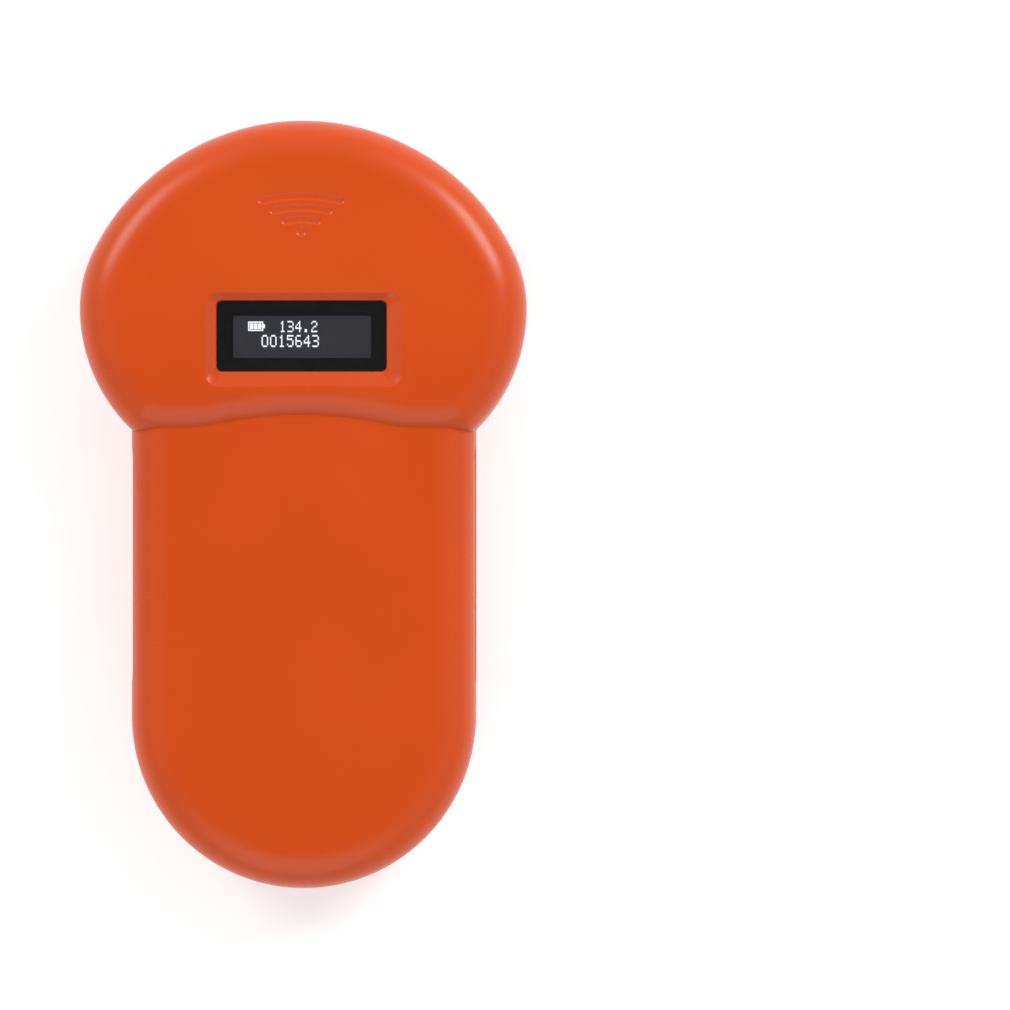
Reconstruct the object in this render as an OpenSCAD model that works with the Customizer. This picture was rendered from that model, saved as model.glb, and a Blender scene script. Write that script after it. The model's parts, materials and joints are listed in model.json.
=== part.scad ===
// Handheld microchip scanner for animals: a round reading head with a small display, a flat handle with
// a round tail, a trigger button in a finger dish under the neck and a charging socket in the tail.
// It lies on its back. X runs across it, Y from the tail to the head and Z from the back to the display.
// The origin is at the middle of its length and width, on the plane of its back.

/* [Body] */
// Length from the tail to the top of the head
body_length = 137.6; // [136:0.2:140]
// Width of the head at its widest
head_width = 80; // [79.6:0.1:80.6]
// Width of the handle
handle_width = 61.8; // [61:0.2:62.4]
// Thickness of the head
head_depth = 25; // [24.8:0.1:26]
// Thickness of the handle
handle_depth = 22.5; // [22.4:0.1:23]
// Thickness of the moulded walls
wall = 2; // [1.8:0.1:2.2]
// Height of the seam between the two covers
seam_z = 13; // [12.9:0.1:13.1]

/* [Rounding] */
// Radius of the head's front edge
head_rim = 8; // [7:0.5:8]
// Radius of the handle's front edge
handle_rim = 8; // [7:0.5:8]
// Radius of the back edge
back_rim = 6; // [5:0.5:6]
// Chamfer on each cover at the seam
reveal = 0.25; // [0.15:0.05:0.3]

/* [Display] */
// Width of the window
window_width = 30.3; // [30.1:0.1:31]
// Height of the window
window_height = 12.7; // [12.5:0.1:13]
// Width of the sloping frame below the window
bevel_bottom = 2.5; // [2:0.1:2.6]
// Width of the sloping frame above the window
bevel_top = 1.2; // [1:0.1:2]
// Distance of the window from the middle of the body
window_y = 30; // [29.6:0.1:30.6]

/* [Trigger] */
// Length of the trigger button
trigger_length = 20; // [18:0.5:20]
// Width of the trigger button
trigger_width = 12; // [11:0.5:12]
// Distance of the trigger from the middle of the body
trigger_y = 1; // [0.5:0.1:1.5]
// How far the trigger can be pressed
trigger_travel = 0.5; // [0.3:0.1:0.5]

/* [Battery] */
// Length of the battery
battery_length = 40; // [38:0.5:40]
// Width of the battery
battery_width = 30; // [28:0.5:30]
// Thickness of the battery
battery_depth = 7; // [6:0.1:7]

/* [Hidden] */
$fn = 96;
EPS = 0.01;

shell_orange = [0.85, 0.32, 0.12];
board_green = [0.05, 0.32, 0.16];
chip_black = [0.08, 0.08, 0.09];
steel = [0.75, 0.76, 0.78];

// Outline of the body, seen from the front
half_length = body_length / 2;
handle_r = handle_width / 2;
tail_y = handle_r - half_length;
head_half = head_width / 2;
head_arc_r = 41.9;
head_y = half_length - head_arc_r;
widest_y = half_length - 33.6;
// The shoulder arc touches the head's arc and reaches the full width at widest_y
shoulder_r = (pow(head_arc_r, 2) - pow(head_half, 2) - pow(widest_y - head_y, 2))
    / (2 * (head_arc_r - head_half));
shoulder_x = head_half - shoulder_r;
shoulder_angle = atan2(widest_y - head_y, shoulder_x);
lower_r = 30.1;
lower_x = head_half - lower_r;
// The hollow arc that joins the head to the handle's side on the back cover
neck_r = 0.8;
neck_x = handle_r + neck_r;
neck_angle = acos((neck_x - lower_x) / (lower_r + neck_r));
neck_y = widest_y - (lower_r + neck_r) * sin(neck_angle);

// Ledge where the head's front steps down to the handle: a low arch between two straight ends
ledge_crest_y = 14.2;
arch_half = 20;
arch_rise = 2.2;
arch_angle = 2 * atan(arch_rise / arch_half);
arch_r = 70;
arch_blend_r = arch_half / sin(arch_angle) - arch_r;
ledge_y = ledge_crest_y - arch_rise;
// The ledge's ends bend up a little to meet the head's lower arc
ledge_end_x = 23;
ledge_end_r = 24;

head_rise = head_depth - seam_z;
handle_rise = handle_depth - seam_z;
// The low block of the front cover stays just inside the walls of the head's block
nest = 0.06;
head_ceiling = head_depth - wall;
handle_ceiling = handle_depth - wall;

// Lip on the back cover that sits in a rebate of the front cover
lip_inset = 1;
lip_height = 1.3;
lip_gap = 0.05;

// Case screws, driven from the back
screw_places = [[31, 40], [22, 9], [20.5, -46]];
post_r = 3;
post_split_z = 9.5;
screw_seat_z = 4;
screw_r = 1.1;
screw_length = 12;
screw_head_r = 1.9;
screw_head_height = 1.5;
screw_recess_r = 2.4;

// Window and display stack, from the front down
bevel_depth = 1.2;
bevel_step = 0.12;
bevel_left = 1.6;
bevel_right = 2.4;
window_top = head_depth - bevel_depth;
window_thick = 1;
window_corner = 1;
tape_thick = 0.2;
pocket_floor = window_top - window_thick - tape_thick;
frame_bottom = pocket_floor - 1;
view_width = 26;
view_height = 9;
glass_size = [30, 11.5];
glass_top = frame_bottom - 0.1;
glass_back = 0.7;
glass_front = 0.5;
glass_bottom = glass_top - glass_back - glass_front;

// Main board
board_bottom = 14.25;
board_thick = 1.6;
board_top = board_bottom + board_thick;
board_half = 16.5;
board_end_gap = 3;
board_top_y = 52;
board_screw_places = [[13.5, 46], [13, -34]];
board_screw_r = 0.9;

// Engraved wave mark: flat arcs that fan out above a spot
wave_apex_y = 47.8;
wave_crowns = [6.95, 4.9, 2.8];
wave_flatness = 4.2;
wave_width = 1.1;
wave_depth = 0.2;
wave_spot_y = 48.4;
wave_spot_r = 0.75;

// Grip panels in the handle's sides
grip_y = -10.7;
grip_length = 42.5;
grip_height = 9;
grip_depth = 0.35;

// Trigger and its switch
dish_depth = 2.4;
dish_half = 15;
dish_r = (pow(dish_half, 2) + pow(dish_depth, 2)) / (2 * dish_depth);
dish_pad_top = 4.6;
trigger_face_z = 0.5;
trigger_gap = 0.2;
flange_edge = 1.5;
flange_thick = 1;
collar_wall = 1.2;
collar_height = 3;
switch_size = 6;
switch_height = 3.5;
switch_face_z = board_bottom - switch_height;
plunger_r = 1.7;
plunger_reach = 1;
plunger_end_z = switch_face_z - plunger_reach;
plunger_top_z = switch_face_z + 1.4;
// The dome gives way by half its height when the trigger is pressed home
dome_height = 2 * trigger_travel;
dome_half = 2.2;
dome_thick = 0.12;
terminal_x = 3.3;
terminal_y = 2.25;
cavity_r = 2.55;
cavity_top = plunger_top_z + 0.05 + dome_height;
cover_thick = 0.3;

// Antenna coil
coil_y = 40;
coil_inner = 22.5;
coil_outer = 25.5;
coil_z = 5;
coil_height = 5.6;
coil_mid = (coil_inner + coil_outer) / 2;
coil_rest_angles = [40, 140, 190, 350];
coil_peg = coil_inner - 1.2;
coil_peg_angles = [60, 120, 240, 300];

// Battery
battery_y = -60;
pad_thick = 0.6;
battery_z = wall + pad_thick;
guard_length = 4;

// Charging socket
usb_width = 7.5;
usb_height = 2.5;
usb_length = 5.5;
usb_skin = 0.3;
usb_mouth_y = -half_length + 0.5;
usb_z = seam_z;
socket_gap = 0.35;

// Buzzer
buzzer_x = 0;
buzzer_y = 44;
buzzer_r = 6;
buzzer_height = 5;
buzzer_pin = 3.8;

// Battery plug and its header
plug_x = 10.2;
plug_pitch = 2;
header_y = -8;
header_length = 6;
header_pin_y = header_y + header_length - 1.2;
header_height = 4;
header_width = 6;

// Smallest distance between neighbouring parts that touch
touch = 0.02;

// Wires
wire_d = 1.1;
coil_wire_d = 0.6;
wire_steps = 4;
wire_sides = 8;
red_route = [[6.5, -15.6, 8.7], [7, -13.8, 9.1], [9, -12, 11], [10.9, -10.8, 12.1], [11.2, -9.05, 12.2]];
black_route = [[3.5, -15.6, 8.7], [4, -13.8, 9.1], [6.5, -12, 11], [8.9, -10.8, 12.1], [9.2, -9.05, 12.2]];
start_route = [[5, 16.9, 10.95], [7.5, 17.6, 10.98], [9, 19.2, 12], [9.6, 20.6, 13], [9.7, 21, 14.2]];
end_route = [[-5, 16.9, 10.95], [-7.5, 17.6, 10.98], [-9, 19.2, 12], [-9.6, 20.6, 13], [-9.7, 21, 14.2]];

// ---- Building blocks -------------------------------------------------------------------------

function on_arc(centre, r, angle) = centre + r * [cos(angle), sin(angle)];
function arc(centre, r, from, to, steps) = [
    for (i = [0:steps]) on_arc(centre, r, from + (to - from) * i / steps)
];
function mirrored(half) = [for (i = [len(half) - 1:-1:0]) [-half[i].x, half[i].y]];
function whole(half) = concat(half, mirrored(half));

// Section of a block's edge from its foot to its flat top, as steps of inset and height
function edge_profile(height, rim, chamfer, steps) = concat(
    chamfer > 0 ? [[chamfer, 0], [0, chamfer]] : [[0, 0]],
    rim > 0
        ? [for (i = [0:steps]) [rim * (1 - cos(90 * i / steps)), height - rim * (1 - sin(90 * i / steps))]]
        : [[0, height]]
);

// A solid through rings of points that run anticlockwise, one above the other
module loft(rings) {
    n = len(rings[0]);
    skin = [
        for (i = [0:len(rings) - 2]) for (k = [0:n - 1])
            let (a = i * n + k, b = i * n + (k + 1) % n)
            each [[a, a + n, b + n], [a, b + n, b]]
    ];
    foot = [[for (k = [0:n - 1]) k]];
    top = [[for (k = [n - 1:-1:0]) (len(rings) - 1) * n + k]];
    polyhedron(points = [for (ring = rings) each ring], faces = concat(skin, foot, top));
}

module both_sides() {
    children();
    mirror([1, 0, 0]) children();
}

module plate(size, height, corner) {
    linear_extrude(height) {
        square([size.x - 2 * corner, size.y], center = true);
        square([size.x, size.y - 2 * corner], center = true);
        for (x = [-1, 1], y = [-1, 1])
            translate([x * (size.x / 2 - corner), y * (size.y / 2 - corner)]) circle(r = corner);
    }
}

// A plate with half-round ends, its long side along Y
module slot_plate(width, length, height) {
    linear_extrude(height) {
        square([width, length - width], center = true);
        for (y = [-1, 1]) translate([0, y * (length - width) / 2]) circle(d = width);
    }
}

module box_at(centre, size, z) {
    translate([centre.x - size.x / 2, centre.y - size.y / 2, z]) cube(size);
}

// ---- Wires: a tube swept along a smooth line through a few points -------------------------------

function on_curve(a, b, c, d, t) =
    0.5 * (2 * b + (c - a) * t + (2 * a - 5 * b + 4 * c - d) * t * t + (3 * b - a - 3 * c + d) * t * t * t);
function curve(p, steps) = [
    for (i = [0:len(p) - 2]) for (k = [0:steps - 1])
        on_curve(p[max(i - 1, 0)], p[i], p[i + 1], p[min(i + 2, len(p) - 1)], k / steps),
    p[len(p) - 1]
];
function unit(v) = v / norm(v);
function across(v, t) = unit(v - (v * t) * t);
function heading(p, i) = unit(p[min(i + 1, len(p) - 1)] - p[max(i - 1, 0)]);
// The side direction at each point, carried along the line so that the tube doesn't twist
function sides_of(p) = [
    for (i = 0, n = across([1, 0.2, 0.1], heading(p, 0)); i < len(p);
         i = i + 1, n = across(n, heading(p, min(i, len(p) - 1)))) n
];

module wire(route, d) {
    line = curve(route, wire_steps);
    side = sides_of(line);
    rings = len(line);
    points = [
        for (i = [0:rings - 1]) for (k = [0:wire_sides - 1])
            let (a = 360 * k / wire_sides)
            line[i] + d / 2 * (cos(a) * side[i] + sin(a) * cross(heading(line, i), side[i]))
    ];
    skin = [
        for (i = [0:rings - 2]) for (k = [0:wire_sides - 1])
            let (a = i * wire_sides + k, b = i * wire_sides + (k + 1) % wire_sides)
            each [[a, a + wire_sides, b], [b, a + wire_sides, b + wire_sides]]
    ];
    foot = [[for (k = [0:wire_sides - 1]) k]];
    top = [[for (k = [wire_sides - 1:-1:0]) (rings - 1) * wire_sides + k]];
    polyhedron(points = points, faces = concat(skin, foot, top));
}

// ---- Body blocks, standing on the seam ----------------------------------------------------------

// Half outlines, from the middle of the foot up the right side to the middle of the top
function tail_half(r) = [for (i = [0.5:1:15.5]) on_arc([0, tail_y], r, 270 + 90 * i / 15.5)];
function head_upper_half(inset) = concat(
    arc([shoulder_x, widest_y], shoulder_r - inset, 0, shoulder_angle, 5),
    [for (i = [0.5:1:13.5])
        on_arc([0, head_y], head_arc_r - inset, shoulder_angle + (90 - shoulder_angle) * i / 14)]
);

// The whole body, as on the back cover
function body_half(inset) = concat(
    tail_half(handle_r - inset),
    arc([neck_x, neck_y], neck_r + inset, 180, 180 - neck_angle, 4),
    [for (i = [1:8]) on_arc([lower_x, widest_y], lower_r - inset, -neck_angle * (1 - i / 9))],
    head_upper_half(inset)
);

// The corner where the ledge's end meets the head's lower arc, as its angle on each of the two
function ledge_corner(inset) =
    let (
        a = [ledge_end_x, ledge_y + ledge_end_r],
        b = [lower_x, widest_y],
        r = ledge_end_r - inset,
        s = lower_r - inset,
        d = norm(b - a),
        turn = atan2(b.y - a.y, b.x - a.x) + acos((r * r + d * d - s * s) / (2 * r * d)),
        p = on_arc(a, r, turn)
    )
    [turn < 0 ? turn + 360 : turn, atan2(p.y - b.y, p.x - b.x)];

// The head's front, down to the arched ledge
function head_half_outline(inset) =
    let (corner = ledge_corner(inset))
    concat(
        [for (i = [0.5:1:9.5])
            on_arc([0, ledge_crest_y - arch_r], arch_r + inset, 90 - arch_angle * i / 10)],
        arc([arch_half, ledge_y + arch_blend_r], arch_blend_r - inset, 270 - arch_angle, 270, 5),
        [for (i = [0:3]) on_arc([ledge_end_x, ledge_y + ledge_end_r], ledge_end_r - inset,
                                270 + (corner[0] - 270) * i / 4)],
        [for (i = [0:9]) on_arc([lower_x, widest_y], lower_r - inset, corner[1] * (1 - i / 10))],
        head_upper_half(inset)
    );

module head_block(inset, height, rim, chamfer = 0, steps = 5) {
    loft([for (e = edge_profile(height, rim, chamfer, steps))
        [for (p = whole(head_half_outline(inset + e[0]))) [p.x, p.y, e[1]]]]);
}

module body_block(inset, height, rim, chamfer = 0, steps = 5) {
    loft([for (e = edge_profile(height, rim, chamfer, steps))
        [for (p = whole(body_half(inset + e[0]))) [p.x, p.y, e[1]]]]);
}

// ---- Covers -----------------------------------------------------------------------------------

// Sloping sides of the recess round the window
module window_bevel() {
    w = window_width / 2 + bevel_step;
    h = window_height / 2 + bevel_step;
    top_z = bevel_depth + EPS;
    left = -w - bevel_left;
    right = w + bevel_right;
    low = -h - bevel_bottom;
    high = h + bevel_top;
    translate([0, window_y, window_top]) polyhedron(
        points = [
            [-w, -h, 0], [w, -h, 0], [w, h, 0], [-w, h, 0],
            [left, low, top_z], [right, low, top_z], [right, high, top_z], [left, high, top_z]
        ],
        faces = [
            [0, 1, 2, 3], [7, 6, 5, 4], [4, 5, 1, 0], [5, 6, 2, 1], [6, 7, 3, 2], [7, 4, 0, 3]
        ]
    );
}

module wave_mark() {
    half_angle = asin(1 / wave_flatness);
    translate([0, 0, head_depth - wave_depth]) {
        for (crown = wave_crowns) {
            r = wave_flatness * crown;
            translate([0, wave_apex_y + crown - r, 0]) rotate([0, 0, 90 - half_angle])
                rotate_extrude(angle = 2 * half_angle, $fn = 160)
                    translate([r - wave_width / 2, 0]) square([wave_width, 1]);
        }
        translate([0, wave_spot_y, 0]) cylinder(r = wave_spot_r, h = 1, $fn = 16);
    }
}

module grip_panels() {
    both_sides() translate([handle_r - grip_depth, grip_y, seam_z]) rotate([0, 90, 0])
        slot_plate(grip_height, grip_length, 2);
}

module socket_opening() {
    w = usb_width + 2 * socket_gap;
    h = usb_height + 2 * socket_gap;
    translate([0, -half_length - 1, usb_z]) rotate([-90, 0, 0]) plate([w, h], 2 * wall + 1, 1);
}

module front_posts() {
    both_sides() {
        for (p = screw_places) {
            top = (p.y > neck_y ? head_ceiling : handle_ceiling) + 0.5;
            translate([p.x, p.y, post_split_z]) cylinder(r = post_r, h = top - post_split_z, $fn = 16);
        }
        for (p = board_screw_places) {
            top = (p.y > neck_y ? head_ceiling : handle_ceiling) + 0.5;
            translate([p.x, p.y, board_top]) cylinder(r = 2.2, h = top - board_top, $fn = 16);
        }
    }
}

module front_post_holes() {
    both_sides() {
        for (p = screw_places)
            translate([p.x, p.y, post_split_z - EPS])
                cylinder(r = screw_r, h = screw_seat_z + screw_length + 1 - post_split_z, $fn = 16);
        for (p = board_screw_places)
            translate([p.x, p.y, board_top - EPS]) cylinder(r = board_screw_r, h = 4, $fn = 16);
    }
}

module front_cover() {
    $fn = 48;
    color(shell_orange) resize([head_width, 0, 0]) difference() {
        union() {
            translate([0, 0, seam_z]) difference() {
                union() {
                    head_block(0, head_rise, head_rim, reveal);
                    body_block(nest, handle_rise, handle_rim, reveal);
                }
                translate([0, 0, -EPS]) {
                    head_block(wall, head_rise - wall + EPS, head_rim - wall, steps = 3);
                    body_block(wall + nest, handle_rise - wall + EPS, handle_rim - wall, steps = 3);
                }
                translate([0, 0, -1]) body_block(lip_inset, lip_height + 1.1, 0);
            }
            front_posts();
            box_at([0, window_y], [window_width + 5, window_height + 5, head_ceiling - frame_bottom + 0.3],
                   frame_bottom);
        }
        window_bevel();
        translate([0, window_y, pocket_floor])
            plate([window_width, window_height], window_top - pocket_floor + EPS, window_corner);
        translate([0, window_y, frame_bottom - 1]) plate([view_width, view_height], 3, 0.8);
        front_post_holes();
        wave_mark();
        grip_panels();
        socket_opening();
    }
}

module coil_rest_posts() {
    for (a = coil_rest_angles)
        translate([coil_mid * cos(a), coil_y + coil_mid * sin(a), 1])
            cylinder(r = 1.6, h = coil_z - 1, $fn = 16);
    // Short pegs inside the ring keep the coil centred
    for (a = coil_peg_angles)
        translate([coil_peg * cos(a), coil_y + coil_peg * sin(a), 1])
            cylinder(r = 1, h = coil_z + 2.5, $fn = 12);
}

module battery_walls() {
    w = battery_width + 0.8;
    l = battery_length + guard_length + 1.2;
    translate([0, battery_y + l / 2 - 0.4, wall - EPS]) difference() {
        box_at([0, 0], [w + 1.6, l + 1.6, 3], 0);
        box_at([0, 0], [w, l, 4], -0.5);
        box_at([0, 0], [w / 2, l + 4, 4], -0.5);
        box_at([0, 0], [w + 4, l / 2, 4], -0.5);
    }
}

// Raised wall that guides the trigger's flange
module trigger_collar() {
    inside = 2 * (flange_edge + trigger_gap);
    outside = inside + 2 * collar_wall;
    translate([0, trigger_y, dish_pad_top - 0.5]) difference() {
        slot_plate(trigger_width + outside, trigger_length + outside, collar_height + 0.5);
        translate([0, 0, 0.5])
            slot_plate(trigger_width + inside, trigger_length + inside, collar_height + 1);
    }
}

module back_cover() {
    $fn = 48;
    color(shell_orange) resize([head_width, body_length, 0]) difference() {
        union() {
            difference() {
                union() {
                    translate([0, 0, seam_z]) mirror([0, 0, 1]) body_block(0, seam_z, back_rim, reveal);
                    translate([0, 0, seam_z - wall]) body_block(lip_inset + lip_gap, wall + lip_height, 0);
                }
                translate([0, 0, seam_z]) mirror([0, 0, 1])
                    body_block(wall, seam_z - wall, back_rim - wall, steps = 3);
                translate([0, 0, seam_z - 1]) body_block(wall, lip_height + 2, 0);
            }
            both_sides() for (p = screw_places)
                translate([p.x, p.y, 1]) cylinder(r = post_r, h = post_split_z - 1, $fn = 16);
            translate([0, trigger_y, wall / 2])
                cylinder(r = dish_half + 1.5, h = dish_pad_top - wall / 2);
            trigger_collar();
            coil_rest_posts();
            battery_walls();
        }
        translate([0, trigger_y, dish_depth - dish_r]) sphere(r = dish_r);
        translate([0, trigger_y, -1])
            slot_plate(trigger_width + 2 * trigger_gap, trigger_length + 2 * trigger_gap, 8);
        both_sides() for (p = screw_places) translate([p.x, p.y, -EPS]) {
            cylinder(r = screw_recess_r, h = screw_seat_z + EPS, $fn = 16);
            cylinder(r = screw_r + 0.15, h = post_split_z + 2 * EPS, $fn = 16);
        }
        sound_holes();
        grip_panels();
        socket_opening();
    }
}

module sound_holes() {
    for (i = [-2:2])
        translate([buzzer_x + i * 2, buzzer_y, -EPS]) cylinder(r = 0.6, h = wall + 1, $fn = 12);
}

// ---- Fasteners --------------------------------------------------------------------------------

module screw(shaft_r, length, head_r, head_height) {
    difference() {
        translate([0, 0, -head_height]) cylinder(r = head_r, h = head_height);
        for (a = [0, 90]) rotate([0, 0, a])
            translate([0, 0, -head_height]) cube([1.3 * head_r, head_r / 4, head_height], center = true);
    }
    cylinder(r = shaft_r, h = length);
}

module case_screws() {
    color(steel) both_sides() for (p = screw_places)
        translate([p.x, p.y, screw_seat_z - touch])
            screw(screw_r - touch, screw_length, screw_head_r, screw_head_height);
}

module board_screws() {
    color(steel) both_sides() for (p = board_screw_places)
        translate([p.x, p.y, board_bottom - touch]) screw(board_screw_r - touch, 5, 1.7, 1);
}

// ---- Display ----------------------------------------------------------------------------------

module display_window() {
    color([0.03, 0.03, 0.04]) translate([0, window_y, window_top - window_thick])
        plate([window_width - 0.1, window_height - 0.1], window_thick, window_corner);
}

module window_tape() {
    color([0.1, 0.1, 0.1]) translate([0, window_y, pocket_floor + touch]) difference() {
        plate([window_width - 0.3, window_height - 0.3], tape_thick - 2 * touch, window_corner);
        translate([0, 0, -1]) plate([view_width - 0.6, view_height - 0.6], 2, window_corner);
    }
}

module oled_glass() {
    color([0.12, 0.12, 0.14]) {
        box_at([0, window_y], [glass_size.x, glass_size.y, glass_back], glass_bottom);
        box_at([0.7, window_y], [glass_size.x - 3.4, glass_size.y - 0.6, glass_front + EPS],
               glass_bottom + glass_back - EPS);
    }
}

// The flex leaves the glass at its left end and folds down behind it to the board
module oled_flex() {
    width = 7;
    thick = 0.12;
    upper = glass_bottom + glass_back + touch;
    lower = board_top + touch;
    r = (upper - lower) / 2;
    end_x = -glass_size.x / 2 - 0.3;
    color([0.75, 0.45, 0.1]) translate([0, window_y, 0]) {
        translate([end_x, -width / 2, upper]) cube([1.6, width, thick]);
        translate([end_x, -width / 2, lower]) cube([9, width, thick]);
        translate([end_x, width / 2, lower + r + thick / 2]) rotate([90, 0, 0])
            rotate_extrude(angle = 180, start = 90)
                translate([r - thick / 2, 0]) square([thick, width]);
    }
}

module display_holder() {
    height = glass_bottom - board_top - 2 * touch;
    color([0.15, 0.15, 0.16]) translate([0, window_y, board_top + touch]) difference() {
        box_at([0, 0], [glass_size.x + 1.2, glass_size.y + 1.2, height], 0);
        box_at([0, 0], [glass_size.x - 2, glass_size.y - 1.6, height + 2], -1);
        box_at([-glass_size.x / 2, 0], [6, 8, height + 2], -1);
    }
}

// ---- Main board and its parts -------------------------------------------------------------------

module board_outline() {
    tail_r = handle_r - board_end_gap;
    intersection() {
        union() {
            translate([-board_half, tail_y]) square([2 * board_half, board_top_y - tail_y]);
            translate([0, tail_y]) circle(r = tail_r);
        }
        translate([-board_half, tail_y - tail_r - 1]) square([2 * board_half, 2 * half_length]);
    }
}

module main_board() {
    color(board_green) difference() {
        translate([0, 0, board_bottom]) linear_extrude(board_thick) board_outline();
        both_sides() for (p = board_screw_places)
            translate([p.x, p.y, board_bottom - 1]) cylinder(r = board_screw_r + 0.15, h = board_thick + 2);
        translate([0, trigger_y, board_bottom - 1]) for (x = [-1, 1], y = [-1, 1])
            translate([x * terminal_x, y * terminal_y, 0]) cylinder(r = 0.55, h = board_thick + 2);
        for (x = [-1, 1]) translate([buzzer_x + x * buzzer_pin, buzzer_y, board_bottom - 1])
            cylinder(r = 0.5, h = board_thick + 2);
        for (x = [-1, 1]) translate([plug_x + x * plug_pitch / 2, header_pin_y, board_bottom - 1])
            cylinder(r = 0.5, h = board_thick + 2);
    }
}

// A row of flat legs along X beside a chip whose edge is at y = 0
module leg_row(count, pitch, width, reach, lift) {
    for (i = [0:count - 1]) translate([(i - (count - 1) / 2) * pitch - width / 2, 0, 0]) {
        cube([width, reach, 0.15]);
        cube([width, 0.3, lift + 0.15]);
        translate([0, -0.5, lift]) cube([width, 0.8, 0.15]);
    }
}

module chip_body(size, standoff) {
    translate([-size.x / 2, -size.y / 2, standoff]) cube([size.x, size.y, size.z]);
}

module controller_chip() {
    color(chip_black) translate([0, -14, board_top + touch]) {
        chip_body([7, 7, 1.2], 0.1);
        for (a = [0:90:270]) rotate([0, 0, a]) translate([0, 3.5, 0]) leg_row(8, 0.8, 0.35, 0.9, 0.5);
    }
}

module reader_chip() {
    color(chip_black) translate([0, 12, board_top + touch]) {
        chip_body([10, 4, 1.4], 0.1);
        for (a = [0, 180]) rotate([0, 0, a]) translate([0, 2, 0]) leg_row(8, 1.2, 0.45, 1, 0.6);
    }
}

module charger_chip() {
    color(chip_black) translate([7, -54, board_top + touch]) {
        chip_body([3, 1.7, 1.1], 0.1);
        for (a = [0, 180]) rotate([0, 0, a]) translate([0, 0.85, 0]) leg_row(3, 0.95, 0.4, 0.6, 0.5);
    }
}

module crystal() {
    color(steel) translate([9, -14, board_top + touch]) {
        plate([3.2, 5], 0.6, 0.3);
        translate([0, 0, 0.6 - EPS]) plate([2.7, 4.5], 0.5, 0.4);
    }
}

// Small block parts with a metal cap on each end, laid out in rows on the front of the board
module block_part(size) {
    translate([-size.x / 2, -size.y / 2, 0]) cube(size);
    for (x = [-1, 1]) translate([x * (size.x / 2 - 0.2), 0, size.z / 2])
        cube([0.45, size.y + 0.08, size.z + 0.04], center = true);
}

module board_capacitors() {
    color([0.72, 0.6, 0.42]) translate([0, 0, board_top + 2 * touch]) {
        for (i = [0:4]) translate([-12, -22 + i * 4, 0]) block_part([2, 1.25, 0.9]);
        for (i = [0:2]) translate([12, -50 + i * 4, 0]) block_part([2, 1.25, 0.9]);
    }
}

module board_resistors() {
    color([0.1, 0.1, 0.1]) translate([0, 0, board_top + 2 * touch]) {
        for (i = [0:5]) translate([13, -24 + i * 3.2, 0]) block_part([1.6, 0.8, 0.45]);
        for (i = [0:3]) translate([-4 + i * 2.8, -24, 0]) rotate([0, 0, 90]) block_part([1.6, 0.8, 0.45]);
    }
}

module tuning_capacitors() {
    color([0.75, 0.55, 0.2]) translate([0, 0, board_top + 2 * touch])
        for (i = [-1:1]) translate([i * 5, 18.5, 0]) block_part([3.2, 2.5, 1.4]);
}

module power_inductor() {
    color([0.2, 0.2, 0.22]) translate([-6, -54, board_top + touch]) {
        plate([5, 5], 0.8, 1);
        cylinder(d = 3.6, h = 2.2);
        translate([0, 0, 1.6]) plate([5, 5], 0.8, 1);
    }
}

// ---- Buzzer -------------------------------------------------------------------------------------

module buzzer() {
    color(chip_black) translate([buzzer_x, buzzer_y, board_bottom - buzzer_height - touch])
        difference() {
            cylinder(r = buzzer_r, h = buzzer_height);
            translate([0, 0, -EPS]) cylinder(r = 1, h = 1.5);
        }
}

module buzzer_pins() {
    color(steel) for (x = [-1, 1])
        translate([buzzer_x + x * buzzer_pin, buzzer_y, board_bottom]) cylinder(r = 0.35, h = 3);
}

// ---- Charging socket ------------------------------------------------------------------------------

// Outline of the shell seen from its mouth: the two corners away from the board are cut off
module usb_outline(inset) {
    w = usb_width / 2 - inset;
    h = usb_height / 2 - inset;
    cut = 1 - inset / 2;
    polygon([[-w, h], [w, h], [w, -h + cut], [w - cut, -h], [-w + cut, -h], [-w, -h + cut]]);
}

module usb_shell() {
    color(steel) translate([0, usb_mouth_y, usb_z - touch]) rotate([90, 0, 0]) mirror([0, 0, 1]) {
        difference() {
            linear_extrude(usb_length) usb_outline(0);
            translate([0, 0, -EPS]) linear_extrude(usb_length - 0.6) usb_outline(usb_skin);
        }
    }
}

module usb_tongue() {
    color(chip_black)
        box_at([0, usb_mouth_y + 2.8], [4.6, 4, 0.6], usb_z + 0.15);
}

module usb_contacts() {
    color([0.85, 0.68, 0.3]) for (i = [-2:2])
        box_at([i * 0.8, usb_mouth_y + 2.6], [0.35, 3.2, 0.12], usb_z + 0.15 - 0.12 - touch);
}

// ---- Trigger switch -----------------------------------------------------------------------------

module switch_housing() {
    bottom = switch_face_z + cover_thick + touch;
    color(chip_black) translate([0, trigger_y, 0]) difference() {
        box_at([0, 0], [switch_size, switch_size, board_bottom - touch - bottom], bottom);
        translate([0, 0, bottom - EPS]) cylinder(r = cavity_r, h = cavity_top - bottom + EPS);
    }
}

module switch_cover() {
    color(steel) translate([0, trigger_y, switch_face_z]) difference() {
        union() {
            box_at([0, 0], [switch_size, switch_size, cover_thick], 0);
            for (x = [-1, 1]) box_at([x * (switch_size / 2 + 0.15), 0], [0.25, 3, 2], 0);
            for (x = [-1, 1]) box_at([x * switch_size / 2, 0], [0.5, 3, cover_thick], 0);
        }
        translate([0, 0, -1]) cylinder(r = plunger_r + 0.05, h = 2);
    }
}

module switch_terminals() {
    color(steel) translate([0, trigger_y, 0]) for (x = [-1, 1], y = [-1, 1])
        box_at([x * terminal_x, y * terminal_y], [0.3, 0.7, board_top + 1 - switch_face_z - 2],
               switch_face_z + 2);
}

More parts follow.
